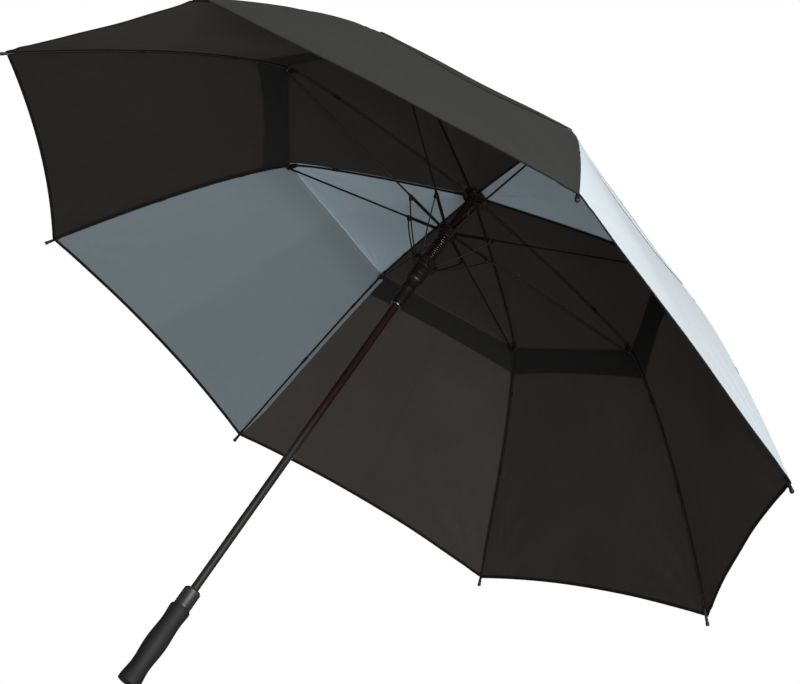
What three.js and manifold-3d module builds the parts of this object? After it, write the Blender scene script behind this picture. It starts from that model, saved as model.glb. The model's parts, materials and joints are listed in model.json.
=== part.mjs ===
// Golf umbrella: push-button shaft, vented double canopy, eight folding ribs.
// Millimetres, +Z along the shaft from the flat butt of the grip (z = 0) to the ferrule.
// Each rib piece is drawn in the XZ plane (x = distance from the shaft) and copied round the shaft.

import * as THREE from 'three';
import { mergeVertices } from 'three/addons/utils/BufferGeometryUtils.js';
import Module from 'manifold-3d';

const wasm = await Module();
wasm.setup();

// ---------- driving dimensions ----------

const RIBS = 8;
const GAP = 0.3; // running gap between separate pieces

// linkage at rest (open): the notch pivot, the stretcher pivot and the hub pivot
// make an isosceles triangle, so the hub rises in step with the ribs
const NOTCH = { x: 12, z: 889 }; // rib pivot
const KNEE = { x: 335, z: 857 }; // where inner rib, outer rib and bracket meet
const KNEE_PIN = { x: 335, z: 852 }; // stretcher's outer pivot
const HUB = { x: 12, z: 2 * KNEE_PIN.z - NOTCH.z }; // stretcher's inner pivot
const RUNNER_PIN = { x: 17, z: 749 }; // link's lower pivot
const RUNNER_END = 665;
const LINK_AT = { along: 62, below: 5 }; // link's upper pivot, measured on the stretcher
const TIP = { x: 650, z: 587 }; // canopy corner at a rib tip

const RIB_R = 1.7;
const NOTCH_FALL = 3; // slope of the rib at the notch, degrees
const KNEE_FALL = 26; // slope at the knee
const TIP_FALL = 46.5; // slope at the tip
const TIP_CAP = { r: 3, length: 26, past: 14 };

const STRETCHER = { inner: 1.8, outer: 1.3, change: 72 };
const LINK_R = 1;
const EYE = { r: 2.2, thick: 2.4 };
const CHEEK = { thick: 1.1, inside: 3 }; // side plates of a bracket and the space between them

const FABRIC = 0.6;
const FABRIC_LIFT = 3.1; // fabric centre above the rib centre
const VENT_LIFT = 6.4; // the same for the upper canopy where it covers the lower one
const VENT_HEM = 0.175; // share of the outer rib that the upper canopy covers
const HEM_BOW = 10; // how far each hem bows in between two ribs
const VENT_BOW = 6;

const CAP_Z = NOTCH.z + 5.2; // underside of the cloth cap over the notch
const FERRULE_TOP = CAP_Z + 67.8;
const SHAFT = { r: 6, wall: 1.2, from: 24, to: CAP_Z + 24 };
const BORE = SHAFT.r + GAP;
const CROWN_SLOT = { wide: 4.2, from: 8.6 };
const SPRING = { r: 10.2, wire: 0.75, turns: 12, from: RUNNER_PIN.z + 5.5, to: HUB.z - 13.5 };

const GRIP_TOP = 121;
const COLLAR = { r: 12.5, from: GRIP_TOP + GAP, to: 150, cup: 10, cupFrom: 122.8 };
const BUTTON = { r: 4.2, z: 136, from: 11.7, to: 14.9, azimuth: 262 };

// ---------- helpers ----------

const deg = Math.PI / 180;
const vec = (p, y = 0) => new THREE.Vector3(p.x, y, p.z);

function toManifold(geometry) {
  const g = geometry.clone();
  g.deleteAttribute('normal');
  g.deleteAttribute('uv');
  const m = mergeVertices(g, 1e-4);
  return new wasm.Manifold(new wasm.Mesh({
    numProp: 3,
    vertProperties: new Float32Array(m.attributes.position.array),
    triVerts: new Uint32Array(m.index.array),
  }));
}

function fromManifold(solid) {
  const mesh = solid.getMesh();
  const g = new THREE.BufferGeometry();
  g.setAttribute('position', new THREE.BufferAttribute(mesh.vertProperties, 3));
  g.setIndex(new THREE.BufferAttribute(mesh.triVerts, 1));
  return g;
}

function join(...geometries) {
  const whole = geometries.map(toManifold).reduce((a, b) => a.add(b));
  return fromManifold(whole);
}

function cut(body, ...tools) {
  const left = tools.map(toManifold).reduce((a, b) => a.subtract(b), toManifold(body));
  return fromManifold(left);
}

// a ring or solid of revolution round the shaft from [radius, z] pairs, bottom to top
function turned(profile, sides = 24) {
  const points = profile.map(([r, z]) => new THREE.Vector2(r, z));
  return new THREE.LatheGeometry(points, sides).rotateX(Math.PI / 2);
}

// a hollow turned piece: outside profile with a plain bore
function sleeve(outside, bore, sides = 24) {
  const low = outside[0][1];
  const high = outside[outside.length - 1][1];
  return turned([[bore, low], ...outside, [bore, high], [bore, low]], sides);
}

function circle(r, sides) {
  const shape = new THREE.Shape();
  for (let i = 0; i < sides; i += 1) {
    const a = (i + 0.5) * 2 * Math.PI / sides;
    const move = i ? 'lineTo' : 'moveTo';
    shape[move](r * Math.cos(a), r * Math.sin(a));
  }
  shape.closePath();
  return shape;
}

function rod(curve, r, steps, sides = 6) {
  return new THREE.ExtrudeGeometry(circle(r, sides), { steps, extrudePath: curve, bevelEnabled: false });
}

function straightRod(a, b, r, sides = 6) {
  return rod(new THREE.LineCurve3(vec(a), vec(b)), r, 1, sides);
}

// a flat plate in the XZ plane, centred on y
function plate(points, thick, y = 0) {
  const shape = new THREE.Shape(points.map((p) => new THREE.Vector2(p.x, p.z)));
  const g = new THREE.ExtrudeGeometry(shape, { depth: thick, bevelEnabled: false });
  return g.rotateX(Math.PI / 2).translate(0, y + thick / 2, 0);
}

function eye(at, r = EYE.r, thick = EYE.thick, sides = 10) {
  const points = [];
  for (let i = 0; i < sides; i += 1) {
    const a = i * 2 * Math.PI / sides;
    points.push({ x: at.x + r * Math.cos(a), z: at.z + r * Math.sin(a) });
  }
  return plate(points, thick);
}

// two side plates round a pin, with a solid web between them
function bracket(outline, web) {
  const y = (CHEEK.inside + CHEEK.thick) / 2;
  return [plate(outline, CHEEK.thick, y), plate(outline, CHEEK.thick, -y), plate(web, 2 * y)];
}

// ---------- rib line ----------

// quadratic curve through two points with the given end slopes (falling is positive)
function sloped(a, b, fallA, fallB) {
  const ta = Math.tan(fallA * deg);
  const tb = Math.tan(fallB * deg);
  const run = (a.z - b.z - tb * (b.x - a.x)) / (ta - tb);
  const control = { x: a.x + run, z: a.z - ta * run };
  return new THREE.QuadraticBezierCurve3(vec(a), vec(control), vec(b));
}

const innerLine = sloped(NOTCH, KNEE, NOTCH_FALL, KNEE_FALL);
const outerLine = sloped(KNEE, TIP, KNEE_FALL, TIP_FALL);

// a point `lift` above a curve, square to it
function lifted(curve, t, lift) {
  const p = curve.getPoint(t);
  const d = curve.getTangent(t);
  return { x: p.x - d.z * lift, z: p.z + d.x * lift };
}

function part(curve, from, to, steps) {
  const points = [];
  for (let i = 0; i <= steps; i += 1) {
    points.push(curve.getPoint(from + (to - from) * i / steps));
  }
  return new THREE.CatmullRomCurve3(points);
}

// ---------- rib, stretcher and link ----------

function innerRib() {
  const line = part(innerLine, 0, 0.94, 8);
  const outline = [
    { x: KNEE.x - 12, z: KNEE.z + 6.0 }, { x: KNEE.x + 2.2, z: KNEE.z + 1.6 },
    { x: KNEE.x + 2.6, z: KNEE.z - 1 }, { x: KNEE.x + 2.6, z: KNEE_PIN.z - 1.6 },
    { x: KNEE.x - 2.6, z: KNEE_PIN.z - 1.6 }, { x: KNEE.x - 4, z: KNEE.z - 2 },
    { x: KNEE.x - 12, z: KNEE.z + 1.6 },
  ];
  const web = [
    { x: KNEE.x - 12, z: KNEE.z + 6.0 }, { x: KNEE.x - 4, z: KNEE.z + 3.4 },
    { x: KNEE.x - 4, z: KNEE.z - 1 }, { x: KNEE.x - 12, z: KNEE.z + 1.6 },
  ];
  return join(eye(NOTCH), rod(line, RIB_R, 8), ...bracket(outline, web));
}

function outerRib() {
  const end = outerLine.getTangent(1);
  const beyond = (s) => ({ x: TIP.x + end.x * s, z: TIP.z + end.z * s });
  return join(
    eye(KNEE, 2),
    rod(part(outerLine, 0.002, 0.985, 12), RIB_R * 0.85, 12),
    straightRod(beyond(TIP_CAP.past - TIP_CAP.length), beyond(TIP_CAP.past - 2), TIP_CAP.r * 0.8),
    straightRod(beyond(TIP_CAP.past - 4), beyond(TIP_CAP.past), TIP_CAP.r),
  );
}

// along the stretcher from its hub pivot, and square to it (below is negative)
const stretcherLength = Math.hypot(KNEE_PIN.x - HUB.x, KNEE_PIN.z - HUB.z);
const along = { x: (KNEE_PIN.x - HUB.x) / stretcherLength, z: (KNEE_PIN.z - HUB.z) / stretcherLength };
const onStretcher = (s, up = 0) => ({
  x: HUB.x + along.x * s - along.z * up,
  z: HUB.z + along.z * s + along.x * up,
});
const LINK_PIN = onStretcher(LINK_AT.along, -LINK_AT.below);

function stretcher() {
  const at = LINK_AT.along;
  const outline = [[-5, 1.4], [5, 1.4], [2, -LINK_AT.below - 1.8], [-2, -LINK_AT.below - 1.8]];
  const web = [[-5, 1.4], [5, 1.4], [5, -1.4], [-5, -1.4]];
  const place = (points) => points.map(([s, up]) => onStretcher(at + s, up));
  return join(
    eye(HUB, EYE.r, 3.2),
    straightRod(onStretcher(1), onStretcher(STRETCHER.change), STRETCHER.inner),
    straightRod(onStretcher(STRETCHER.change - 2), onStretcher(stretcherLength - 1), STRETCHER.outer),
    eye(KNEE_PIN),
    ...bracket(place(outline), place(web)),
  );
}

function link() {
  const middle = {
    x: (LINK_PIN.x + RUNNER_PIN.x) / 2 + 4,
    z: (LINK_PIN.z + RUNNER_PIN.z) / 2 - 3,
  };
  const line = new THREE.QuadraticBezierCurve3(vec(LINK_PIN), vec(middle), vec(RUNNER_PIN));
  return join(eye(LINK_PIN, 1.7, 2, 10), rod(line, LINK_R, 6, 6), eye(RUNNER_PIN, 1.7, 2, 10));
}

// ---------- canopy ----------

// a fabric strip centred on a rib, out to half way to the ribs on both sides;
// the cloth runs straight from rib to rib and `bow` shortens its outer edge between them
function gore(centre, bow) {
  const half = Math.PI / RIBS;
  const across = [-1, -0.5, 0, 0.5, 1];
  const rows = centre.length;
  const last = centre[rows - 1];
  const before = centre[rows - 2];
  const step = Math.hypot(last.x - before.x, last.z - before.z);
  const point = (i, u, lift) => {
    const share = bow * (1 - (1 - Math.abs(u)) ** 2) * (i / (rows - 1)) ** 3 / step;
    const j = Math.max(i - 1, 0);
    const next = Math.min(i + 1, rows - 1);
    const p = {
      x: centre[i].x + (centre[j].x - centre[i].x) * share,
      z: centre[i].z + (centre[j].z - centre[i].z) * share,
    };
    const d = new THREE.Vector2(centre[next].x - centre[j].x, centre[next].z - centre[j].z).normalize();
    const x = p.x - d.y * lift;
    const z = p.z + d.x * lift;
    const side = Math.max(x * Math.cos(half) * Math.sin(half) - GAP, 0) * u;
    return [x - Math.abs(side) * Math.tan(half), side, z];
  };
  const positions = [];
  for (const lift of [-FABRIC / 2, FABRIC / 2]) {
    for (let i = 0; i < rows; i += 1) {
      across.forEach((u) => positions.push(...point(i, u, lift)));
    }
  }
  const n = across.length;
  const at = (top, i, k) => top * rows * n + i * n + k;
  const faces = [];
  const quad = (a, b, c, d) => faces.push(a, b, c, a, c, d);
  for (let i = 0; i < rows - 1; i += 1) {
    for (let k = 0; k < n - 1; k += 1) {
      quad(at(1, i, k), at(1, i + 1, k), at(1, i + 1, k + 1), at(1, i, k + 1));
      quad(at(0, i, k), at(0, i, k + 1), at(0, i + 1, k + 1), at(0, i + 1, k));
    }
    quad(at(0, i, 0), at(0, i + 1, 0), at(1, i + 1, 0), at(1, i, 0));
    quad(at(1, i, n - 1), at(1, i + 1, n - 1), at(0, i + 1, n - 1), at(0, i, n - 1));
  }
  for (let k = 0; k < n - 1; k += 1) {
    quad(at(0, 0, k), at(1, 0, k), at(1, 0, k + 1), at(0, 0, k + 1));
    quad(at(1, rows - 1, k), at(0, rows - 1, k), at(0, rows - 1, k + 1), at(1, rows - 1, k + 1));
  }
  const g = new THREE.BufferGeometry();
  g.setAttribute('position', new THREE.BufferAttribute(new Float32Array(positions), 3));
  g.setIndex(faces);
  return g;
}

function upperGore() {
  const centre = [];
  for (let i = 0; i <= 6; i += 1) {
    const t = 0.025 + 0.955 * i / 6;
    centre.push(lifted(innerLine, t, FABRIC_LIFT + (VENT_LIFT - FABRIC_LIFT) * t ** 3));
  }
  for (let i = 1; i <= 2; i += 1) {
    centre.push(lifted(outerLine, VENT_HEM * i / 2, VENT_LIFT));
  }
  return gore(centre, VENT_BOW);
}

function lowerGore() {
  const centre = [];
  for (let i = 0; i <= 9; i += 1) {
    centre.push(lifted(outerLine, 0.012 + 0.988 * i / 9, FABRIC_LIFT));
  }
  return gore(centre, HEM_BOW);
}

// ---------- shaft, crowns, spring, runner ----------

function slots(from, to, reach) {
  const cutter = new THREE.BoxGeometry(reach, CROWN_SLOT.wide, to - from);
  cutter.translate(CROWN_SLOT.from + reach / 2, 0, (from + to) / 2);
  return round(cutter);
}

function round(geometry) {
  const copies = [];
  for (let i = 0; i < RIBS; i += 1) {
    copies.push(geometry.clone().rotateZ(i * 2 * Math.PI / RIBS));
  }
  return copies;
}

function crown(outside, slotFrom, slotTo) {
  return cut(sleeve(outside, BORE), ...slots(slotFrom, slotTo, 20));
}

function spring() {
  const points = [];
  const perTurn = 8;
  for (let i = 0; i <= SPRING.turns * perTurn; i += 1) {
    const a = i * 2 * Math.PI / perTurn;
    const z = SPRING.from + (SPRING.to - SPRING.from) * i / (SPRING.turns * perTurn);
    points.push(new THREE.Vector3(SPRING.r * Math.cos(a), SPRING.r * Math.sin(a), z));
  }
  const line = new THREE.CatmullRomCurve3(points);
  return rod(line, SPRING.wire, SPRING.turns * perTurn, 4);
}

function runner() {
  const top = RUNNER_PIN.z + 4;
  const down = (profile) => profile.map(([r, below]) => [r, top - below]);
  const body = sleeve(down([
    [9.2, 83], [9.2, 69], [8.6, 68], [8.6, 58], [10.6, 57], [10.6, 51], [9.6, 50], [9.6, 40],
    [11.6, 39], [12.8, 36], [12.8, 17], [11.4, 14], [11.4, 10], [19.5, 9], [19.5, 1], [18.5, 0],
  ]), BORE);
  const cutter = new THREE.BoxGeometry(12, 3.2, 20);
  cutter.translate(14.2 + 6, 0, RUNNER_PIN.z);
  return cut(body, ...round(cutter));
}

function handleCollar() {
  const outside = [
    [BORE, COLLAR.from], [COLLAR.r, COLLAR.from], [COLLAR.r, COLLAR.to - 2.5], [COLLAR.r - 1.6, COLLAR.to],
    [COLLAR.cup, COLLAR.to], [COLLAR.cup, COLLAR.cupFrom], [BORE, COLLAR.cupFrom], [BORE, COLLAR.from],
  ];
  const hole = rod(buttonLine(COLLAR.cup - 1, COLLAR.r + 3), BUTTON.r + GAP, 1, 20);
  return cut(turned(outside, 32), hole);
}

function buttonLine(from, to) {
  const a = BUTTON.azimuth * deg;
  const point = (r) => new THREE.Vector3(r * Math.cos(a), r * Math.sin(a), BUTTON.z);
  return new THREE.LineCurve3(point(from), point(to));
}

const endRing = sleeve([[7.6, RUNNER_END], [8.6, RUNNER_END + 1], [8.6, RUNNER_END + 4.7]], BORE);

const grip = turned([
  [BORE, 12], [12.6, 12], [12.6, 1.2], [14.4, 0], [15.6, 1.2], [15.6, 9], [14.6, 16], [13.6, 27], [13.7, 34],
  [14.8, 48], [15.5, 60], [15.4, 70], [14.5, 84], [13.8, 96], [13.9, 103], [14.8, 113], [14.9, 118],
  [13.6, GRIP_TOP], [BORE, GRIP_TOP], [BORE, 12],
], 28);

const endCap = turned([
  [0, 0], [11.6, 0], [12.3, 0.8], [12.3, 11.7], [0, 11.7],
]);

const ferrule = turned([
  [BORE, CAP_Z + 2.4], [15, CAP_Z + 2.4], [15, CAP_Z + 5], [10.5, CAP_Z + 9], [9, CAP_Z + 15],
  [8.2, CAP_Z + 52], [7.6, CAP_Z + 64], [5.6, FERRULE_TOP], [0, FERRULE_TOP],
  [0, SHAFT.to + GAP], [BORE, SHAFT.to + GAP], [BORE, CAP_Z + 2.4],
]);

const canopyCap = sleeve([[15, CAP_Z + 1], [29, CAP_Z], [29, CAP_Z + 0.8], [15, CAP_Z + 2.1]], BORE);

const notch = crown([[15.5, NOTCH.z - 7], [15.5, NOTCH.z + 5.4]], NOTCH.z - 20, NOTCH.z + 20);

const hub = crown([
  [11.5, HUB.z - 12], [11.5, HUB.z - 6.5], [15, HUB.z - 6], [15, HUB.z + 5],
], HUB.z - 6 + 1, HUB.z + 20);

// ---------- assembly ----------

const FINISHES = {
  black_fibreglass: { color: 0x1d1718, roughness: 0.35 },
  black_steel: { color: 0x1b1b1c, roughness: 0.4, metalness: 0.6 },
  black_plastic: { color: 0x161617, roughness: 0.5 },
  bright_steel: { color: 0xa9abad, roughness: 0.25, metalness: 1 },
  soft_grip: { color: 0x232323, roughness: 0.8 },
  black_cloth: { color: 0x2b2b2a, roughness: 0.9 },
  grey_cloth: { color: 0x8f9fa6, roughness: 0.9 },
};

const group = new THREE.Group();

function add(name, geometry, finish, parent = group) {
  const mesh = new THREE.Mesh(geometry, new THREE.MeshStandardMaterial(FINISHES[finish]));
  mesh.name = name;
  parent.add(mesh);
}

add('shaft', sleeve([[SHAFT.r, SHAFT.from], [SHAFT.r, SHAFT.to]], SHAFT.r - SHAFT.wall), 'black_fibreglass');
add('grip', grip, 'soft_grip');
add('grip_end_cap', endCap, 'black_plastic');
add('handle_collar', handleCollar(), 'black_plastic');
add('push_button', rod(buttonLine(BUTTON.from, BUTTON.to), BUTTON.r, 1, 20), 'black_plastic');
add('top_notch', notch, 'black_plastic');
add('canopy_cap', canopyCap, 'black_cloth');
add('ferrule', ferrule, 'black_plastic');
add('stretcher_hub', hub, 'black_plastic');
add('opening_spring', spring(), 'black_steel');
add('runner', runner(), 'black_plastic');
add('runner_end_ring', endRing, 'bright_steel');

const ribPieces = {
  rib_inner: [innerRib(), 'black_fibreglass'],
  rib_outer: [outerRib(), 'black_fibreglass'],
  stretcher: [stretcher(), 'black_steel'],
  link: [link(), 'black_steel'],
  upper_gore: [upperGore(), 'black_cloth'],
  lower_gore: [lowerGore(), 'black_cloth'],
};

for (let k = 0; k < RIBS; k += 1) {
  const spoke = new THREE.Group();
  spoke.rotation.z = -k * 2 * Math.PI / RIBS;
  for (const [name, [geometry, finish]] of Object.entries(ribPieces)) {
    add(`${name}_${k + 1}`, geometry, finish, spoke);
  }
  group.add(spoke);
}

export default group;
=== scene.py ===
"""Golf umbrella: the fine surface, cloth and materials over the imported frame.

Metres, +Z up the shaft, origin at the centre of the grip's butt. Pieces of a rib are drawn in
the XZ plane (x is the distance from the shaft) and turned to each rib's azimuth.
"""

import json
import math

import bmesh
import bpy
import numpy as np
from mathutils import Matrix, Vector, noise


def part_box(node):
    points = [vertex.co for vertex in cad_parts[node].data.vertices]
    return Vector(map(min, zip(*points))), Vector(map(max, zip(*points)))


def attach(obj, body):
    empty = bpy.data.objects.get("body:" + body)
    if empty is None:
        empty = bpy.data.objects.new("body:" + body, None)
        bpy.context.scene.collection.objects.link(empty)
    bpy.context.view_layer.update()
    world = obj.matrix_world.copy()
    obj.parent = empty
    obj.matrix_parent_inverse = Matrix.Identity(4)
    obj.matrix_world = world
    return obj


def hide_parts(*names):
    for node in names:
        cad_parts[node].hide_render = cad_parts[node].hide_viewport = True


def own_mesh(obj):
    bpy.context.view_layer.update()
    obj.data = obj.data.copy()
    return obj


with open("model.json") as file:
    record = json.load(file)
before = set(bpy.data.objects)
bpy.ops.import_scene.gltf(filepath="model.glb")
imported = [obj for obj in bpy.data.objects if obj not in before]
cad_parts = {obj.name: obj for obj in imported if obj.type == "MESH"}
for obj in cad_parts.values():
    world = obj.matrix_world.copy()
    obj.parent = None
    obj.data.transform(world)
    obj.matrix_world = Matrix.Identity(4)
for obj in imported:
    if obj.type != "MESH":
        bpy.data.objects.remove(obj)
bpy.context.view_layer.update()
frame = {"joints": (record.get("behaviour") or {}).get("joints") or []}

MM = 0.001
RIBS = 8
STEP = 2 * math.pi / RIBS
JOINTS = {j["name"]: j for j in frame["joints"]}
LEADER = "canopy_fold"


def joint_at(name):
    """Where a joint of rib 1 sits in the XZ plane."""
    x, _, z = JOINTS[name]["pos_m"]
    return np.array([x, z])


# ---------- places and sizes ----------

NOTCH = joint_at(LEADER)
KNEE = joint_at("rib_1_bend")
KNEE_PIN = joint_at("stretcher_1_fold")
LINK_PIN = joint_at("link_1_fold")
HUB = joint_at("hub_ride")
RUNNER_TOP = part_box("runner")[1].z
RUNNER_PIN = np.array([17 * MM, RUNNER_TOP - 4 * MM])  # in the runner's wire ring
TIP = np.array([650 * MM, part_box("lower_gore_1")[0].z])
FERRULE_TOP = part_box("ferrule")[1].z
CAP_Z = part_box("canopy_cap")[0].z
GRIP_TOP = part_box("grip")[1].z

NOTCH_FALL, KNEE_FALL, TIP_FALL = 3.0, 26.0, 46.5  # rib slopes in degrees
RIB_R = 1.7 * MM
STRETCHER_R = 1.5 * MM  # its thin part, beyond the link
LINK_R = 1.05 * MM
TIE_WIRE_R = 0.45 * MM
EYE_SLOT = 4.2 * MM  # slots of the notch and the hub
SLOT_FLOOR = 8.6 * MM
SHAFT_R = 6 * MM
SHAFT_WALL = 1.2 * MM
BORE = SHAFT_R + 0.3 * MM
SPRING_R = 10.2 * MM
SPRING_WIRE_R = 0.68 * MM
SPRING_TURNS = 12
CAP_R = 29 * MM

FABRIC = 0.45 * MM  # cloth thickness
FABRIC_LIFT = 3.1 * MM  # cloth over the middle of a rib
VENT_LIFT = 6.4 * MM  # the upper canopy over the knee
HEM_LIFT = 4.5 * MM  # the upper canopy's hem, close over the lower one
VENT_HEM = 0.175  # share of the outer rib under the upper canopy
HEM_BOW = 10 * MM
VENT_BOW = 6 * MM
UPPER_SAG = 5 * MM
LOWER_SAG = 9 * MM
HALF_PANEL = 0.25  # half a panel's width at the hem, for the wrinkles
SLACK = 2.8 * MM  # heights of the wrinkles
PUCKER = 0.6 * MM
CORNER_FOLD = 0.9 * MM
POCKET_PULL = 0.9 * MM
POCKET_FOLD = 0.8 * MM
POCKETS = (0.28, 0.63)  # where cloth loops hold each outer rib
UPPER_POCKETS = (0.55,)
POCKET_LENGTH = 11 * MM
FLAP_KEEP = 0.3

GREY_PANELS = (1, 5)  # panel p lies between ribs p + 1 and p + 2


# ---------- curves in the rib plane ----------


def sloped(a, b, fall_a, fall_b):
    """A quadratic curve from a to b with the given end slopes; falling is positive."""
    ta, tb = math.tan(math.radians(fall_a)), math.tan(math.radians(fall_b))
    run = (a[1] - b[1] - tb * (b[0] - a[0])) / (ta - tb)
    control = a + np.array([run, -ta * run])
    return a, control, b


def on_curve(curve, t, lift=0.0):
    """The point at t, moved square to the curve by lift."""
    a, c, b = curve
    point = (1 - t) ** 2 * a + 2 * t * (1 - t) * c + t * t * b
    d = 2 * (1 - t) * (c - a) + 2 * t * (b - c)
    d = d / np.linalg.norm(d)
    return point + lift * np.array([-d[1], d[0]])


INNER = sloped(NOTCH, KNEE, NOTCH_FALL, KNEE_FALL)
OUTER = sloped(KNEE, TIP, KNEE_FALL, TIP_FALL)


def spaced(curve, start, end, count):
    return [on_curve(curve, t) for t in np.linspace(start, end, count)]


def flat3(points):
    """Rib-plane points as 3-D points."""
    return [Vector((p[0], 0, p[1])) for p in points]


def mm(points, z=0.0):
    """(radius, height) points in millimetres above z, as metres."""
    return [(r * MM, z + up * MM) for r, up in points]


# ---------- mesh building ----------


def skin(rows, sides, capped=True):
    """Faces of a bar whose vertices are rows of one closed outline with so many sides."""
    faces = []
    for i in range(rows - 1):
        for k in range(sides):
            m = (k + 1) % sides
            faces.append((i * sides + k, i * sides + m, (i + 1) * sides + m, (i + 1) * sides + k))
    if capped:
        faces.append(tuple(range(sides - 1, -1, -1)))
        faces.append(tuple((rows - 1) * sides + k for k in range(sides)))
    return faces


class Shape:
    """Vertices, faces and a material index for each face, gathered from several solids."""

    def __init__(self):
        self.verts, self.faces, self.slots = [], [], []

    def add(self, verts, faces, slot=0):
        first = len(self.verts)
        self.verts += [Vector(v) for v in verts]
        self.faces += [[i + first for i in f] for f in faces]
        self.slots += [slot] * len(faces)
        return self

    def tube(self, points, radius, sides=14, slot=0):
        """A closed round bar along points; radius may be a list."""
        points = [Vector(p) for p in points]
        n = len(points)
        radii = radius if hasattr(radius, "__len__") else [radius] * n
        tangents = [(points[min(i + 1, n - 1)] - points[max(i - 1, 0)]).normalized() for i in range(n)]
        side = tangents[0].orthogonal().normalized()
        if abs(tangents[0].y) < 0.9:
            side = Vector((0, 1, 0)) - tangents[0] * tangents[0].y
            side.normalize()
        verts = []
        for i in range(n):
            if i:
                side = side - tangents[i] * side.dot(tangents[i])
                side.normalize()
            up = tangents[i].cross(side)
            for k in range(sides):
                a = 2 * math.pi * k / sides
                verts.append(points[i] + radii[i] * (math.cos(a) * side + math.sin(a) * up))
        return self.add(verts, skin(n, sides), slot)

    def turned(self, profile, sides=72, slot=0, place=None):
        """A solid of revolution about +Z from (r, z) points; a profile off the axis closes on itself."""
        place = place or Matrix.Identity(4)
        closed = profile[0][0] > 1e-6
        verts, faces, rings = [], [], []
        for r, z in profile:
            if r < 1e-6:
                rings.append([len(verts)])
                verts.append(place @ Vector((0, 0, z)))
                continue
            rings.append(list(range(len(verts), len(verts) + sides)))
            for k in range(sides):
                a = 2 * math.pi * k / sides
                verts.append(place @ Vector((r * math.cos(a), r * math.sin(a), z)))
        pairs = list(zip(rings, rings[1:]))
        if closed:
            pairs.append((rings[-1], rings[0]))
        for low, high in pairs:
            for k in range(sides):
                m = (k + 1) % sides
                quad = [low[k % len(low)], low[m % len(low)], high[m % len(high)], high[k % len(high)]]
                face = list(dict.fromkeys(quad))
                if len(face) > 2:
                    faces.append(face)
        return self.add(verts, faces, slot)

    def plate(self, outline, thick, y=0.0, slot=0):
        """A flat plate in the XZ plane from a convex outline."""
        n = len(outline)
        verts = [Vector((p[0], y + s * thick / 2, p[1])) for s in (-1, 1) for p in outline]
        faces = [tuple(range(n)), tuple(range(2 * n - 1, n - 1, -1))]
        for i in range(n):
            j = (i + 1) % n
            faces.append((j, i, n + i, n + j))
        return self.add(verts, faces, slot)

    def pin(self, at, radius, half, head, slot):
        """A rivet across the rib plane with low domed heads."""
        place = Matrix.Translation((at[0], 0, at[1])) @ Matrix.Rotation(math.pi / 2, 4, "X")
        tall = 0.45 * MM
        profile = [(0, -half - tall), (head * 0.6, -half - tall * 0.8), (head, -half), (radius, -half)]
        profile += [(r, -z) for r, z in reversed(profile)]
        return self.turned(profile, 16, slot, place)

    def mesh(self, name, materials=()):
        mesh = bpy.data.meshes.new(name)
        mesh.from_pydata([tuple(v) for v in self.verts], [], self.faces)
        for material in materials:
            mesh.materials.append(material)
        mesh.polygons.foreach_set("material_index", self.slots)
        return mesh


def hull(*circles, count=20):
    """The convex outline round circles (x, z, r) in the rib plane, anticlockwise."""
    points = []
    for x, z, r in circles:
        for k in range(count):
            a = 2 * math.pi * k / count
            points.append((x + r * math.cos(a), z + r * math.sin(a)))
    points = sorted(set(points))

    def chain(sequence):
        out = []
        for p in sequence:
            while len(out) > 1:
                (ax, az), (bx, bz) = out[-2], out[-1]
                if (bx - ax) * (p[1] - az) - (bz - az) * (p[0] - ax) > 1e-12:
                    break
                out.pop()
            out.append(p)
        return out

    return chain(points)[:-1] + chain(points[::-1])[:-1]


def make(name, shape, body, materials, cad=None, bevel=0.0, smooth_angle=40, turn=None):
    """A piece from a Shape, turned round the shaft if asked, riding a body and standing for a CAD node."""
    mesh = shape.mesh(name, materials)
    bm = bmesh.new()
    bm.from_mesh(mesh)
    bmesh.ops.remove_doubles(bm, verts=bm.verts, dist=1e-7)
    bmesh.ops.recalc_face_normals(bm, faces=bm.faces)
    if bevel:
        sharp = [e for e in bm.edges if e.is_manifold and e.calc_face_angle() > math.radians(35)]
        bmesh.ops.bevel(bm, geom=sharp, offset=bevel, segments=2, affect="EDGES", clamp_overlap=True)
    if turn is not None:
        bm.transform(turn)
    bm.to_mesh(mesh)
    bm.free()
    mesh.shade_smooth()
    if smooth_angle:
        mesh.set_sharp_from_angle(angle=math.radians(smooth_angle))
    return add_piece(name, mesh, body, cad)


def put(name, data):
    """A new object in the scene."""
    obj = bpy.data.objects.new(name, data)
    bpy.context.scene.collection.objects.link(obj)
    return obj


def add_piece(name, mesh, body, cad):
    obj = put(name, mesh)
    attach(obj, body)
    if cad:
        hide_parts(cad)
    return obj


def cut_boxes(obj, size, centre):
    """Cuts the same box out of a piece at every rib's azimuth."""
    bm = bmesh.new()
    for k in range(RIBS):
        made = bmesh.ops.create_cube(bm, size=1.0)
        turn = Matrix.Rotation(k * STEP, 4, "Z")
        place = turn @ Matrix.Translation(centre) @ Matrix.Diagonal((*size, 1))
        bmesh.ops.transform(bm, matrix=place, verts=made["verts"])
    mesh = bpy.data.meshes.new("cutter")
    bm.to_mesh(mesh)
    bm.free()
    cut_with(obj, mesh)


def cut_with(obj, mesh):
    """Cuts the volume of a mesh out of a piece."""
    cutter = put("cutter", mesh)
    modifier = obj.modifiers.new("cut", "BOOLEAN")
    modifier.operation = "DIFFERENCE"
    modifier.solver = "EXACT"
    modifier.object = cutter
    bpy.context.view_layer.update()
    graph = bpy.context.evaluated_depsgraph_get()
    cut = bpy.data.meshes.new_from_object(obj.evaluated_get(graph))
    obj.modifiers.clear()
    obj.data = cut
    bpy.data.objects.remove(cutter)
    cut.shade_smooth()
    cut.set_sharp_from_angle(angle=math.radians(35))


SPOKES = [Matrix.Rotation(-k * STEP, 4, "Z") for k in range(RIBS)]


# ---------- materials ----------


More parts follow.
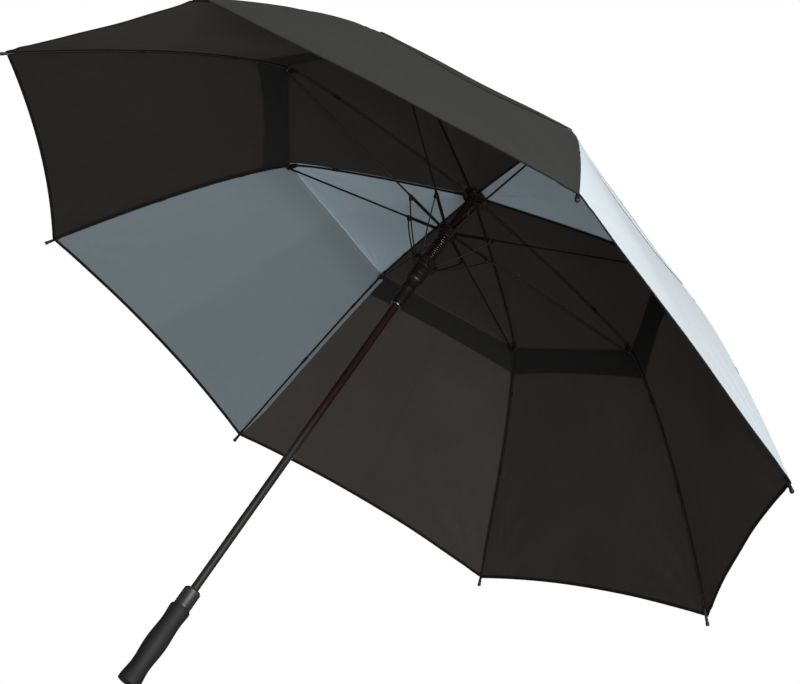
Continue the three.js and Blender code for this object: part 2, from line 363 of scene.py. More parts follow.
def new_material(name, colour, rough, metal=0.0, shine=0.5):
    material = bpy.data.materials.new(name)
    material.use_nodes = True
    shader = material.node_tree.nodes["Principled BSDF"]
    shader.inputs["Base Color"].default_value = (*colour, 1)
    shader.inputs["Roughness"].default_value = rough
    shader.inputs["Metallic"].default_value = metal
    shader.inputs["Specular IOR Level"].default_value = shine
    return material, material.node_tree, shader


def node(tree, kind, inputs=None, **settings):
    made = tree.nodes.new(kind)
    for key, value in settings.items():
        setattr(made, key, value)
    for key, value in (inputs or {}).items():
        if isinstance(value, bpy.types.NodeSocket):
            tree.links.new(value, made.inputs[key])
        else:
            made.inputs[key].default_value = value
    return made


def scaled_place(tree, scale=(1, 1, 1), uv=False):
    source = node(tree, "ShaderNodeTexCoord").outputs["UV" if uv else "Object"]
    mapping = node(tree, "ShaderNodeMapping", {"Vector": source, "Scale": scale})
    return mapping.outputs["Vector"]


def grain(tree, scale, detail=3.0, rough=0.55, uv=False):
    """Noise with so many grains a metre along each axis, of the object or of the flat cloth."""
    place = scaled_place(tree, scale, uv)
    inputs = {"Vector": place, "Scale": 1.0, "Detail": detail, "Roughness": rough}
    return node(tree, "ShaderNodeTexNoise", inputs).outputs["Fac"]


def blend(tree, factor, a, b):
    """A colour between a and b, each a colour or a socket."""
    a, b = (c if isinstance(c, bpy.types.NodeSocket) else (*c, 1) for c in (a, b))
    made = node(tree, "ShaderNodeMix", {"Factor": factor, "A": a, "B": b}, data_type="RGBA")
    return made.outputs["Result"]


def bands(tree, place, direction, inputs):
    """Bands that cross the given direction."""
    inputs = {"Vector": place, **inputs}
    return node(tree, "ShaderNodeTexWave", inputs, bands_direction=direction).outputs["Fac"]


def remap(tree, value, low, high, from_low=0.0, from_high=1.0):
    limits = {"From Min": from_low, "From Max": from_high, "To Min": low, "To Max": high}
    return node(tree, "ShaderNodeMapRange", {"Value": value, **limits}).outputs["Result"]


def bump(tree, shader, height, distance, strength):
    made = node(tree, "ShaderNodeBump", {"Height": height, "Distance": distance, "Strength": strength})
    tree.links.new(made.outputs["Normal"], shader.inputs["Normal"])


def mix_shaders(tree, factor, a, b, output):
    mix = node(tree, "ShaderNodeMixShader", {"Fac": factor, 1: a, 2: b})
    tree.links.new(mix.outputs["Shader"], tree.nodes[output].inputs["Surface"])


def paint(tree, shader, colour, rough=None):
    tree.links.new(colour, shader.inputs["Base Color"])
    if rough:
        tree.links.new(rough, shader.inputs["Roughness"])


def maths(tree, operation, a, b):
    return node(tree, "ShaderNodeMath", {0: a, 1: b}, operation=operation).outputs["Value"]


def weighted(tree, *parts):
    """The sum of values times their weights."""
    total = 0.0
    for value, weight in parts:
        total = maths(tree, "ADD", maths(tree, "MULTIPLY", value, weight), total)
    return total


def tint(colour, factor):
    return tuple(min(1.0, c * factor) for c in colour)


def cloth(name, colour, through, glow=(0.8, 0.77, 0.74), rough=0.75, streak=0.10):
    """Fine plain weave with slubs, and a little light let through; glow is that light's colour."""
    material, tree, shader = new_material(name, colour, rough, shine=0.12)
    place = scaled_place(tree, uv=True)
    uneven = {"Distortion": 0.6, "Detail": 1.0}
    warp = bands(tree, place, "X", {"Scale": 620.0, **uneven})
    weft = bands(tree, place, "Y", {"Scale": 560.0, **uneven})
    weave = maths(tree, "MULTIPLY", warp, weft)
    slub = grain(tree, (260, 18, 1), 4.0, uv=True)
    cloud = grain(tree, (9, 9, 9), 4.0, 0.6, uv=True)
    mottle = grain(tree, (170, 120, 1), 3.0, 0.7, uv=True)
    mixed = weighted(tree, (slub, 0.35), (cloud, 0.35), (mottle, 0.30))
    contrast = remap(tree, mixed, 0.0, 1.0, 0.30, 0.70)
    shade = blend(tree, contrast, tint(colour, 1 - streak), tint(colour, 1 + streak))
    paint(tree, shader, shade, remap(tree, mixed, rough - 0.08, rough + 0.08, 0.3, 0.7))
    shader.inputs["Sheen Weight"].default_value = 0.03
    shader.inputs["Sheen Roughness"].default_value = 0.45
    bump(tree, shader, weighted(tree, (weave, 0.5), (mottle, 0.5)), 0.06 * MM, 0.6)
    passed = blend(tree, contrast, tint(glow, 1 - streak), tint(glow, 1 + streak))
    behind = node(tree, "ShaderNodeBsdfTranslucent", {"Color": passed})
    mix_shaders(tree, through, shader.outputs["BSDF"], behind.outputs["BSDF"], "Material Output")
    return material


def fibre(name, colour, warm, rough, shine, lower=None):
    """Lacquered glass fibre with long faint streaks; plain black below the height lower."""
    material, tree, shader = new_material(name, colour, rough, shine=shine)
    streaks = grain(tree, (900, 900, 14), 4.0, 0.65)
    patches = grain(tree, (60, 60, 22), 3.0)
    mixed = remap(tree, maths(tree, "MULTIPLY", streaks, patches), 0, 1, 0.12, 0.42)
    shade = blend(tree, mixed, colour, warm)
    if lower:
        black = blend(tree, mixed, (0.011, 0.011, 0.0105), (0.020, 0.019, 0.018))
        parts = node(tree, "ShaderNodeSeparateXYZ", {0: scaled_place(tree)})
        height = remap(tree, parts.outputs["Z"], 0, 1, lower - 0.05, lower + 0.05)
        shade = blend(tree, height, black, shade)
    paint(tree, shader, shade, remap(tree, streaks, rough - 0.05, rough + 0.08, 0.3, 0.7))
    bump(tree, shader, streaks, 0.012 * MM, 0.25)
    return material


def painted(name, colour, edge, rough):
    """Black enamel on steel with slight orange peel and rubbed spots."""
    material, tree, shader = new_material(name, colour, rough, shine=0.28)
    peel = grain(tree, (900, 900, 900), 2.0)
    rub = grain(tree, (140, 140, 140), 5.0, 0.7)
    shade = blend(tree, remap(tree, rub, 0, 1, 0.60, 0.80), colour, edge)
    paint(tree, shader, shade, remap(tree, rub, rough - 0.07, rough + 0.12, 0.3, 0.75))
    bump(tree, shader, peel, 0.02 * MM, 0.4)
    return material


def plastic(name, colour, rough, cells_per_metre, depth, shine=0.5):
    """Moulded plastic with an eroded grain and slightly uneven gloss."""
    material, tree, shader = new_material(name, colour, rough, shine=shine)
    cells = node(
        tree, "ShaderNodeTexVoronoi", {"Vector": scaled_place(tree), "Scale": cells_per_metre},
        feature="SMOOTH_F1",
    ).outputs["Distance"]
    cloud = grain(tree, (70, 70, 40), 4.0, 0.6)
    shade = blend(tree, remap(tree, cloud, 0, 1, 0.3, 0.7), tint(colour, 0.86), tint(colour, 1.16))
    paint(tree, shader, shade, remap(tree, cloud, rough - 0.06, rough + 0.07, 0.3, 0.7))
    bump(tree, shader, cells, depth, 0.6)
    return material


def bright(name, colour):
    """Turned steel: fine rings round the axis."""
    material, tree, shader = new_material(name, colour, 0.2, 1.0)
    rings = grain(tree, (60, 60, 2600), 3.0)
    shade = blend(tree, rings, tint(colour, 0.8), tint(colour, 1.1))
    paint(tree, shader, shade, remap(tree, rings, 0.14, 0.34))
    bump(tree, shader, rings, 0.02 * MM, 0.4)
    return material


def thread(name, colour):
    """Twisted sewing thread."""
    material, tree, shader = new_material(name, colour, 0.6)
    twist = bands(tree, scaled_place(tree), "DIAGONAL", {"Scale": 900.0})
    paint(tree, shader, blend(tree, twist, tint(colour, 0.7), tint(colour, 1.3)))
    bump(tree, shader, twist, 0.05 * MM, 0.5)
    return material


# the colour of the light that passes through each cloth
WARM = (0.82, 0.75, 0.69)
COOL = (0.84, 0.93, 1.0)
COOL_OUT = (0.86, 0.93, 1.0)

# Outside colours are lighter than the inside ones: partly the cloth's darker coated backing inside, partly
# painted sheen on the black outside and painted light on the grey outside.
BLACK_OUT = cloth("black_cloth_outside_with_painted_sheen", (0.029, 0.029, 0.028), 0.175, WARM)
BLACK_IN = cloth("black_cloth_inside", (0.0175, 0.0170, 0.0165), 0.175, WARM)
GREY_IN = cloth("grey_cloth_inside", (0.178, 0.216, 0.240), 0.08, COOL, streak=0.05)
CLOTHS = {  # (lower canopy, grey panel): outside and inside
    (True, False): [BLACK_OUT, BLACK_IN],
    (True, True): [cloth("grey_cloth_outside_with_painted_light", (0.52, 0.57, 0.605), 0.08, COOL_OUT, streak=0.03), GREY_IN],
    # The upper canopy's cloths are copies of the lower canopy's fabrics, recoloured and given other
    # translucency as painted light and shade; the grey ones are painted lighter.
    (False, False): [
        cloth("upper_cloth_outside_painted_shading", (0.030, 0.029, 0.027), 0.155, WARM),
        cloth("upper_cloth_inside_painted_shading", (0.0195, 0.0185, 0.0172), 0.155, WARM),
    ],
    (False, True): [
        cloth("grey_upper_outside_painted_light", (0.64, 0.70, 0.745), 0.44, COOL_OUT, streak=0.03),
        cloth("grey_upper_inside_painted_light", (0.20, 0.245, 0.272), 0.50, COOL, streak=0.05),
    ],
}
BINDING = cloth("hem_binding", (0.009, 0.0085, 0.008), 0.0, rough=0.8)
FIBRE = fibre("rib_fibreglass", (0.006, 0.004, 0.004), (0.016, 0.0075, 0.007), 0.50, 0.24)
SHAFT_FIBRE = fibre("shaft_fibreglass", (0.011, 0.0055, 0.006), (0.026, 0.007, 0.008), 0.40, 0.20, lower=0.43)
STEEL = painted("black_enamel", (0.008, 0.006, 0.006), (0.022, 0.014, 0.013), 0.46)
RIVET = painted("rivet_steel", (0.05, 0.047, 0.045), (0.13, 0.12, 0.12), 0.3)
PLASTIC = plastic("black_nylon", (0.0105, 0.0065, 0.0066), 0.42, 1500, 0.03 * MM, 0.3)
COLLAR = plastic("collar_plastic", (0.017, 0.017, 0.0165), 0.38, 1800, 0.02 * MM)
GRIP = plastic("grip_foam", (0.0075, 0.0075, 0.0072), 0.66, 1300, 0.08 * MM, 0.3)
SILVER = bright("bright_steel", (0.26, 0.25, 0.25))
SPRING = bright("spring_steel", (0.10, 0.095, 0.09))
THREAD = thread("black_thread", (0.014, 0.014, 0.014))
PALE_THREAD = thread("pale_thread", (0.45, 0.50, 0.54))


# ---------- shaft, notch, hub, runner ----------


def ring(radius, z, wire, sides=10):
    """A wire ring round the shaft."""
    angles = [2 * math.pi * k / sides for k in range(sides)]
    return Shape().turned([(radius + wire * math.cos(a), z + wire * math.sin(a)) for a in angles], 64)


def tie_wire(name, at, body):
    """The ring that the eyes of eight arms turn on, through a point of the rib plane."""
    make(name, ring(at[0], at[1], TIE_WIRE_R), body, [STEEL])


def slotted(name, profile, body, floor, z_from, z_to, wide, cad):
    """A turned piece with a slot for each rib, cut from the radius floor outwards."""
    piece = make(name, Shape().turned(profile, 96), body, [PLASTIC], cad)
    reach = 20 * MM
    cut_boxes(piece, (reach, wide, z_to - z_from), (floor + reach / 2, 0, (z_from + z_to) / 2))


def rounded(profile, radius, steps=3):
    """Rounds every corner of a closed (r, z) profile."""
    out = []
    n = len(profile)
    for i in range(n):
        p = np.array(profile[i])
        before, after = np.array(profile[i - 1]), np.array(profile[(i + 1) % n])
        la, lb = np.linalg.norm(before - p), np.linalg.norm(after - p)
        r = min(radius, la * 0.4, lb * 0.4)
        start, end = p + (before - p) / la * r, p + (after - p) / lb * r
        for t in np.linspace(0, 1, steps + 1):
            out.append(tuple((1 - t) ** 2 * start + 2 * t * (1 - t) * p + t * t * end))
    return out


def sleeve(outside, radius=0.4 * MM):
    """A closed profile round the shaft from an outside profile."""
    return rounded([(BORE, outside[0][1])] + outside + [(BORE, outside[-1][1])], radius)


def build_shaft():
    low, high = (corner.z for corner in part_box("shaft"))
    inside = SHAFT_R - SHAFT_WALL
    outside = [(SHAFT_R, z) for z in np.linspace(low, high, 41)]
    profile = [(inside, low)] + outside + [(inside, high)]
    make("shaft_tube", Shape().turned(profile, 64), "handle", [SHAFT_FIBRE], "shaft")


def build_notch():
    z = NOTCH[1]
    outside = [(13.4, -7), (15.5, -5.5), (15.5, -1.6), (14.9, -1.1), (14.9, 1.1), (15.5, 1.6), (15.5, 5.4)]
    profile = sleeve(mm(outside, z))
    slotted("notch_crown", profile, "handle", SLOT_FLOOR, z - 20 * MM, z + 20 * MM, EYE_SLOT, "top_notch")
    tie_wire("notch_tie_wire", NOTCH, "handle")


def build_hub():
    z = HUB[1]
    outside = [
        (10.4, -12), (11.5, -11), (11.5, -6.5), (15, -6), (15, -1.4), (14.5, -0.9), (14.5, 0.9), (15, 1.4),
        (15, 5),
    ]
    profile = sleeve(mm(outside, z))
    slotted("hub_crown", profile, "hub", SLOT_FLOOR, z - 5 * MM, z + 20 * MM, EYE_SLOT, "stretcher_hub")
    tie_wire("hub_tie_wire", HUB, "hub")


def build_runner():
    top = RUNNER_TOP
    outside = [
        (9.0, -83), (9.2, -82), (9.2, -69), (8.6, -68), (8.6, -58), (10.6, -57), (10.6, -51), (9.6, -50),
        (9.6, -40), (11.6, -39), (12.8, -36), (12.8, -28.4), (12.4, -28), (12.4, -26.4), (12.8, -26),
        (12.8, -17), (11.4, -14), (11.4, -10), (19.5, -9), (19.5, -1), (18.5, 0),
    ]
    profile = sleeve(mm(outside, top))
    slotted("runner_body", profile, "runner", 14.2 * MM, top - 14 * MM, top + 10 * MM, 3.2 * MM, "runner")
    tie_wire("runner_tie_wire", RUNNER_PIN, "runner")
    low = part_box("runner_end_ring")[0].z
    outside = [(7.4, 0), (8.2, 0.5), (8.6, 1.2), (8.6, 3.2), (8.3, 3.6), (8.3, 4.7)]
    profile = sleeve(mm(outside, low), 0.15 * MM)
    shape = Shape().turned(profile)
    make("runner_end_sleeve", shape, "runner", [SILVER], "runner_end_ring")


def build_spring():
    per_turn = 28
    total = SPRING_TURNS * per_turn
    low, high = RUNNER_TOP + 1.5 * MM, HUB[1] - 13.5 * MM
    points = []
    for i in range(total + 1):
        a = 2 * math.pi * i / per_turn
        t = i / total
        close = 0.5 * MM * (math.exp(-i / per_turn) - math.exp(-(total - i) / per_turn))
        points.append((SPRING_R * math.cos(a), SPRING_R * math.sin(a), low + (high - low) * t - close))
    coil = Shape().tube(points, SPRING_WIRE_R, 10)
    piece = make("spring_coil", coil, "runner", [SPRING], "opening_spring")
    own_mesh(piece)
    seat = ring(SPRING_R, RUNNER_TOP + 0.8 * MM, 0.75 * MM)
    make("spring_seat_ring", seat, "runner", [SILVER])


# ---------- ferrule and cap ----------


def build_ferrule():
    z = CAP_Z
    outside = [
        (14.6, 2.4), (15, 3.0), (15, 5), (13, 6.8), (10.8, 8.6), (9.6, 11.5), (9.2, 15), (9.9, 15.4),
        (9.9, 18.4), (9.1, 18.8), (8.2, 52), (8.0, 56), (8.4, 56.6), (8.4, 60), (7.8, 61.5), (7.2, 64.6),
        (5.6, 67.8),
    ]
    profile = [(0, FERRULE_TOP)] + mm(reversed(outside), z)
    profile += [(BORE, z + 2.4 * MM), (BORE, z + 24.3 * MM), (0, z + 24.3 * MM)]
    shape = Shape().turned(profile)
    make("ferrule_spike", shape, "handle", [PLASTIC], "ferrule", bevel=0.2 * MM)


def build_cap():
    """A round of canopy cloth over the notch, whose turned edge droops in eight low waves."""
    rings = 10
    inner = BORE + 0.1 * MM
    under, top = [], []
    for i in range(rings + 1):
        t = i / rings
        r = inner + (CAP_R - inner) * t
        half = (1.05 * MM if i >= rings - 1 else 0.7 * MM) / 2
        z = CAP_Z + 0.45 * MM + 1.0 * MM * (1 - t) - 1.6 * MM * max(0.0, t - 0.5)
        under.append((r, z - half))
        top.append((r, z + half))
    shape = Shape().turned(under + top[::-1], 96)
    wave = 0.25 * MM
    for v in shape.verts:
        share = (math.hypot(v.x, v.y) - inner) / (CAP_R - inner)
        v.z += wave * math.sin(RIBS * math.atan2(v.y, v.x)) * share
    piece = make("notch_cap_cloth", shape, "handle", [BLACK_OUT], "canopy_cap")


# ---------- handle ----------


def build_grip():
    outside = [
        (12.6, 1.2), (13.4, 0.25), (14.4, 0.0), (15.2, 0.4), (15.6, 1.2), (15.7, 5), (15.5, 9), (14.9, 14.5),
        (14.1, 21), (13.65, 27), (13.6, 32), (13.9, 38), (14.6, 46), (15.2, 54), (15.5, 61), (15.5, 68),
        (15.1, 75), (14.5, 83), (14.0, 91), (13.8, 98), (13.95, 104), (14.5, 110), (14.9, 115),
        (14.8, 118.5), (14.2, 120.4), (13.4, 121),
    ]
    profile = [(BORE, 12 * MM), (12.6 * MM, 12 * MM)] + smooth_profile(mm(outside), 3) + [(BORE, GRIP_TOP)]
    make("grip_sleeve", Shape().turned(profile, 96), "handle", [GRIP], "grip")

    plug = mm([
        (0, 0.9), (7.6, 0.9), (8.2, 0.5), (8.6, 0.05), (11.4, 0.0), (12.1, 0.35), (12.3, 0.9), (12.3, 11.7),
        (0, 11.7),
    ])
    make("grip_butt_plug", Shape().turned(plug, 96), "handle", [PLASTIC], "grip_end_cap")


def build_collar():
    """The collar with the hole for the release button, and the button in it."""
    low, top = (corner.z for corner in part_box("handle_collar"))
    shell = mm([(12.2, 0), (12.5, 0.6), (12.5, 3.6), (12.15, 3.9), (12.15, 4.8), (12.5, 5.1)], low)
    shell += mm([(12.5, -2.5), (10.9, 0), (10, 0)], top)
    shell += [(10 * MM, low + 1.5 * MM), (BORE, low + 1.5 * MM)]
    profile = rounded([(BORE, low)] + shell, 0.3 * MM)
    shape = Shape().turned(profile, 96)
    piece = make("collar_shell", shape, "handle", [COLLAR], "handle_collar")

    button_low, button_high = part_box("push_button")
    centre = (button_low + button_high) / 2
    azimuth = math.atan2(centre.y, centre.x)
    out = Matrix.Rotation(azimuth, 4, "Z") @ Matrix.Rotation(math.pi / 2, 4, "Y")
    place = Matrix.Translation((0, 0, centre.z)) @ out
    hole = mm([(0, 9), (4.5, 9), (4.5, 16), (0, 16)])
    cut_with(piece, Shape().turned(hole, 40, 0, place).mesh("hole"))
    face = mm([
        (0, 11.7), (4.2, 11.7), (4.2, 14.2), (3.9, 14.75), (3.5, 14.9), (2.6, 14.7), (1.4, 14.55), (0, 14.5),
    ])
    shape = Shape().turned(face, 40, 0, place)
    make("release_button", shape, "button", [PLASTIC], "push_button")


def smooth_profile(points, parts):
    """Catmull-Rom points through an open profile."""
    points = [np.array(p) for p in points]
    out = []
    for i in range(len(points) - 1):
        a, b = points[max(i - 1, 0)], points[i]
        c, d = points[i + 1], points[min(i + 2, len(points) - 1)]
        for k in range(parts):
            t = k / parts
            bend, twist = 2 * a - 5 * b + 4 * c - d, 3 * b - a - 3 * c + d
            out.append(tuple((2 * b + (c - a) * t + bend * t * t + twist * t ** 3) / 2))
    return out + [tuple(points[-1])]


# ---------- ribs, stretchers, links ----------


def eye_plate(shape, at, radius, thick, slot=0):
    return shape.plate(hull((at[0], at[1], radius), count=24), thick, slot=slot)


def inner_rib_shape():
    """The rod from the notch to the knee, with its crimped eye and the bracket of knee and stretcher."""
    shape = Shape()
    shape.tube(flat3(spaced(INNER, 0.012, 0.945, 30)), RIB_R)
    crimp = [r * MM for r in (1.5, 2.0, 2.0, 2.0, 1.85)]
    shape.tube(flat3(spaced(INNER, 0.012, 0.04, 5)), crimp, slot=1)
    eye_plate(shape, NOTCH, 2.2 * MM, 2.4 * MM, 1)
    bracket = hull(
        (KNEE[0] - 10 * MM, KNEE[1] + 3.9 * MM, 2.1 * MM),
        (KNEE[0], KNEE[1] - 0.3 * MM, 2.4 * MM),
        (KNEE_PIN[0], KNEE_PIN[1], 2.5 * MM),
    )
    for side in (-1, 1):
        shape.plate(bracket, 0.9 * MM, side * 2.05 * MM, 1)
    shape.tube(flat3(spaced(INNER, 0.87, 0.95, 5)), 2.2 * MM, slot=1)
    for at in (KNEE, KNEE_PIN):
        shape.pin(at, 0.9 * MM, 2.5 * MM, 1.5 * MM, 2)
    return shape


def outer_rib_shape():
    """The tapered rod from the knee to the moulded tip."""
    shape = Shape()
    steps = 34
    radii = np.linspace(0.94, 0.80, steps) * RIB_R
    shape.tube(flat3(spaced(OUTER, 0.002, 0.985, steps)), radii.tolist())
    eye_plate(shape, KNEE, 2.0 * MM, 2.4 * MM, 1)
    tip = mm([
        (0, -12), (1.9, -12), (2.3, -11.6), (2.45, -3), (2.2, -2), (2.2, 2), (2.5, 3), (2.4, 8), (2.7, 9),
        (3.0, 10.4), (2.9, 12.4), (2.2, 13.6), (1.0, 14), (0, 14),
    ])
    way = OUTER[2] - OUTER[1]
    turn = Matrix.Rotation(math.atan2(way[0], way[1]), 4, "Y")
    shape.turned(tip, 24, 2, Matrix.Translation((TIP[0], 0, TIP[1])) @ turn)
    return shape


ALONG = (KNEE_PIN - HUB) / np.linalg.norm(KNEE_PIN - HUB)
ACROSS = np.array([-ALONG[1], ALONG[0]])
STRETCHER_LENGTH = np.linalg.norm(KNEE_PIN - HUB)


def on_stretcher(s, up=0.0):
    return HUB + ALONG * s + ACROSS * up


def stretcher_shape():
    """A channel from the hub to past the link, a thin rod beyond it and the link's bracket."""
    shape = Shape()
    link_at = float(np.dot(LINK_PIN - HUB, ALONG))
    channel(shape, 3 * MM, link_at + 8 * MM)
    eye_plate(shape, HUB, 2.2 * MM, 3.0 * MM, 0)
    thin = [on_stretcher(s) for s in np.linspace(link_at - 3 * MM, STRETCHER_LENGTH - 1.5 * MM, 20)]
    shape.tube(flat3(thin), STRETCHER_R)
    eye_plate(shape, KNEE_PIN, 2.1 * MM, 2.3 * MM, 0)
    a, b = (on_stretcher(link_at + s * MM, 0.4 * MM) for s in (-4, 4))
    bracket = hull((a[0], a[1], 1.2 * MM), (b[0], b[1], 1.2 * MM), (LINK_PIN[0], LINK_PIN[1], 1.7 * MM))
    for side in (-1, 1):
        shape.plate(bracket, 0.8 * MM, side * 1.9 * MM)
    for at in (LINK_PIN, on_stretcher(link_at, 0.3 * MM)):
        shape.pin(at, 0.7 * MM, 2.3 * MM, 1.1 * MM, 1)
    return shape


def channel(shape, start, end):
    """A folded steel channel, open below, from start to end along the stretcher."""
    outside, wall, tall, low, fold = 1.9 * MM, 0.55 * MM, 1.8 * MM, -1.7 * MM, 0.5 * MM
    section = [
        (-outside, low), (-outside, tall - fold), (-outside + fold, tall), (outside - fold, tall),
        (outside, tall - fold), (outside, low), (outside - wall, low), (outside - wall, tall - wall),
        (-outside + wall, tall - wall), (-outside + wall, low),
    ]
    steps = 6
    n = len(section)
    verts = []
    for i in range(steps + 1):
        s = start + (end - start) * i / steps
        narrow = 0.72 if i in (0, steps) else 1.0
        for y, up in section:
            p = on_stretcher(s, up * narrow)
            verts.append((p[0], y, p[1]))
    faces = skin(steps + 1, n, capped=False)
    for base in (0, steps * n):
        for corners in ((0, 1, 8, 9), (1, 2, 8), (2, 3, 7, 8), (3, 4, 7), (4, 5, 6, 7)):
            faces.append([base + i for i in corners])
    shape.add(verts, faces)


def link_shape():
    """A bent wire with an eye at each end."""
    shape = Shape()
    middle = (LINK_PIN + RUNNER_PIN) / 2 + np.array([4 * MM, -3 * MM])
    shape.tube(flat3(spaced((LINK_PIN, middle, RUNNER_PIN), 0.02, 0.98, 18)), LINK_R, 12)
    angles = [2 * math.pi * k / 16 for k in range(17)]
    for at in (LINK_PIN, RUNNER_PIN):
        eye = [at + 1.15 * MM * np.array([math.cos(a), math.sin(a)]) for a in angles]
        shape.tube(flat3(eye), 0.6 * MM, 10)
    return shape


def build_spokes():
    glass, steel = "black_fibreglass", "black_steel"
    spokes = (
        ("rib_rod", inner_rib_shape(), "rib", [FIBRE, STEEL, RIVET], glass, "rib_inner"),
        ("rib_end_rod", outer_rib_shape(), "rib_end", [FIBRE, STEEL, PLASTIC], glass, "rib_outer"),
        ("stretcher_arm", stretcher_shape(), "stretcher", [STEEL, RIVET], steel, "stretcher"),
        ("link_wire", link_shape(), "link", [STEEL], steel, "link"),
    )
    for name, shape, body, materials, slot, cad in spokes:
        for k, turn in enumerate(SPOKES, 1):
            make(f"{name}_{k}", shape, f"{body}_{k}", materials, f"{cad}_{k}", turn=turn)


# ---------- canopy ----------


def arc_length(points):
    return float(np.linalg.norm(np.diff(points, axis=0), axis=1).sum())


def sag_upper(s, w):
    """How far the cloth dips at s along the ribs and w between them, both from 0 to 1."""
    return UPPER_SAG * math.sin(math.pi * min(1.0, s) ** 0.8) * math.sin(math.pi * w)


def sag_lower(s, w):
    return LOWER_SAG * math.sin(math.pi * (0.06 + 0.94 * s)) * math.sin(math.pi * w)


def sag_vent(s, w):
    return sag_lower(VENT_HEM * s, w) * s


def panel_grid(p, centre, rows, columns, bow, bow_power, sag, pockets):
    """Points of a whole panel between two ribs, its normals and its places on the flat cloth.

    centre(s) is the rib line of the cloth. The cloth runs from rib to rib, dips by sag between them,
    and its outer edge bows in. Normals come from the whole panel, so its two halves meet smoothly.
    """
    angles = (-p * STEP, -(p + 1) * STEP)
    ends = [np.array([math.cos(a), math.sin(a)]) for a in angles]
    out = np.array([math.cos(sum(angles) / 2), math.sin(sum(angles) / 2)])
    length = arc_length([centre(s) for s in np.linspace(0, 1, 30)])
    grid = np.zeros((rows + 1, columns + 1, 3))
    place = np.zeros((rows + 1, columns + 1, 2))
    for i in range(rows + 1):
        for j in range(columns + 1):
            s, w = i / rows, j / columns
            u = 1 - abs(2 * w - 1)
            s_in = s - (bow / length) * (1 - (1 - u) ** 2) * s ** bow_power
            r, z = centre(s_in)
            ahead, behind = centre(s_in + 0.004), centre(s_in - 0.004)
            flat = np.array([(ahead[0] - behind[0]) * math.cos(STEP / 2), ahead[1] - behind[1]])
            flat = flat / np.linalg.norm(flat)
            normal = np.array([-flat[1] * out[0], -flat[1] * out[1], flat[0]])
            across = ends[0] * (1 - w) + ends[1] * w
            base = np.array([across[0] * r, across[1] * r, z])
            ripple = cloth_ripple(base, s, u, pockets, length)
            grid[i, j] = base + normal * (ripple - sag(s, w))
            place[i, j] = (w * r * 2 * math.sin(STEP / 2), s_in * length)
    normals = np.cross(np.gradient(grid, axis=1), np.gradient(grid, axis=0))
    normals /= np.linalg.norm(normals, axis=2, keepdims=True)
    if normals[rows // 2, columns // 2, 2] < 0:
        normals = -normals
    return grid, normals, place


def cloth_ripple(point, s, u, pockets, length):
    """Slack waves inside a panel, puckers along its seams and a pull towards the rib at each pocket.

    u is 0 at a rib and 1 halfway to the next. Cloth with pockets also has folds out of its corners.
    """
    q = Vector(point)
    inside = math.sin(math.pi * u) if u < 0.5 else 1.0
    lift = noise.noise(q * 7.0) * SLACK * inside
    lift += noise.noise(q * 55.0) * PUCKER * math.exp(-u * 7.0) * min(1.0, u * 12)
    if pockets:
        to_hem = (1 - s) * length
        from_corner = math.hypot(to_hem, u * HALF_PANEL)
        slant = math.atan2(u * HALF_PANEL, to_hem + 0.01)
        fade = math.exp(-from_corner / 0.10) * min(1.0, u * 8) * min(1.0, from_corner / 0.02)
        lift += CORNER_FOLD * math.sin(slant * 16.0) * fade
    for t in pockets:
        away = (s - t) * length
        reach = u * HALF_PANEL * (0.4 + s)
        near = math.exp(-((away / 0.018) ** 2)) * math.exp(-reach / 0.012)
        fold = math.sin(away * 190.0 + 1.5) * math.exp(-abs(away) / 0.035) * math.exp(-reach / 0.03)
        lift -= POCKET_PULL * near - POCKET_FOLD * fold * min(1.0, u * 10)
    return lift


def cloth_half(name, grid, normals, place, body, materials, cad, fold):
    """One half of a panel as a thin closed sheet, riding its rib."""
    rows, cols = grid.shape[:2]
    verts = np.concatenate([(grid + side * normals * FABRIC / 2).reshape(-1, 3) for side in (1, -1)])
    vertex_normals = np.concatenate([side * normals.reshape(-1, 3) for side in (1, -1)])
    faces, slots = [], []  # slot 0 is the outside's material, 1 the inside's

    def at(i, j, under=0):
        return under * rows * cols + i * cols + j

    for i in range(rows - 1):
        for j in range(cols - 1):
            faces.append((at(i, j), at(i, j + 1), at(i + 1, j + 1), at(i + 1, j)))
            faces.append((at(i, j, 1), at(i + 1, j, 1), at(i + 1, j + 1, 1), at(i, j + 1, 1)))
            slots += [0, 1]
    edge = [(i, 0) for i in range(rows)] + [(rows - 1, j) for j in range(1, cols)]
    edge += [(i, cols - 1) for i in range(rows - 2, -1, -1)] + [(0, j) for j in range(cols - 2, 0, -1)]
    for (ia, ja), (ib, jb) in zip(edge, edge[1:] + edge[:1]):
        faces.append((at(ia, ja), at(ib, jb), at(ib, jb, 1), at(ia, ja, 1)))
        slots.append(0)
    a, b, c = (Vector(verts[i]) for i in faces[0][:3])
    if (b - a).cross(c - b).dot(Vector(vertex_normals[faces[0][0]])) < 0:
        faces = [tuple(reversed(f)) for f in faces]
    shape = Shape().add(verts, faces)
    shape.slots = slots
    mesh = shape.mesh(name, materials)
    index = np.zeros(len(mesh.loops), int)
    mesh.loops.foreach_get("vertex_index", index)
    flat = np.concatenate([place.reshape(-1, 2)] * 2)
    mesh.uv_layers.new(name="cloth").data.foreach_set("uv", flat[index].ravel())
    mesh.shade_smooth()
    mesh.normals_split_custom_set_from_vertices([tuple(x) for x in vertex_normals])
    obj = add_piece(name, mesh, body, cad)
    fold_to_rib(obj, *fold)


def fold_to_rib(obj, k, side, curve, keep=None):
    """Gives the piece its own copy of its mesh; the cloth does not gather against the rib.

    side, the side of the rib (+1 or -1), is not used.
    """
    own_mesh(obj)


